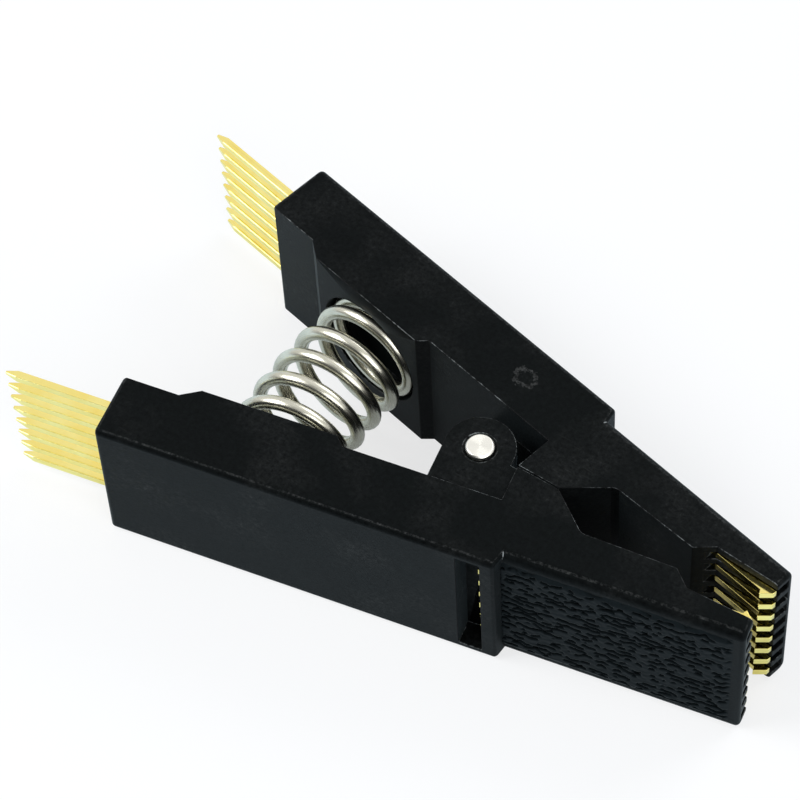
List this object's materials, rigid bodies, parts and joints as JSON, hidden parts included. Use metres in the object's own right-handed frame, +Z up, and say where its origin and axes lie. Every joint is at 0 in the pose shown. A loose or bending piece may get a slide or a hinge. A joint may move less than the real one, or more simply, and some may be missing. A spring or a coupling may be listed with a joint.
{
  "type": "ic test clip",
  "caption": "Sprung test clip for a small-outline chip: moulded levers on a hinge pin, a coil spring, and gold strip contacts with pointed rear pins.",
  "frame": {"origin": "middle of the clip's outline seen from above, on the side face that it lies on", "axes": "+X along the clip from its connector pins to its nose, +Y from the near jaw to the far jaw, +Z up along the hinge axis"},
  "size_m": [0.0476, 0.0238, 0.0108],
  "materials": {
    "black_moulding": "fine matt moulded",
    "gold_contact": "gold plated",
    "spring_wire": "drawn",
    "pin_steel": "turned"
  },
  "bodies": {
    "near_lever": {"near_jaw": "black_moulding", "hinge_pin": "pin_steel", "spring": "spring_wire", "near_contact_1": "gold_contact", "near_contact_2": "gold_contact", "near_contact_3": "gold_contact", "near_contact_4": "gold_contact", "near_contact_5": "gold_contact", "near_contact_6": "gold_contact", "near_contact_7": "gold_contact", "near_contact_8": "gold_contact"},
    "far_lever": {"far_jaw": "black_moulding", "far_contact_1": "gold_contact", "far_contact_2": "gold_contact", "far_contact_3": "gold_contact", "far_contact_4": "gold_contact", "far_contact_5": "gold_contact", "far_contact_6": "gold_contact", "far_contact_7": "gold_contact", "far_contact_8": "gold_contact"}
  },
  "joints": [
    {"name": "jaw_hinge", "type": "hinge", "parent": "near_lever", "child": "far_lever", "pos_m": [0.00372, 0, 0.0054], "axis": [0, 0, 1], "range_deg": [0, 20], "stiffness_Nm_per_rad": 0.08, "springref_deg": -34.38, "deforming": ["spring"]}
  ]
}
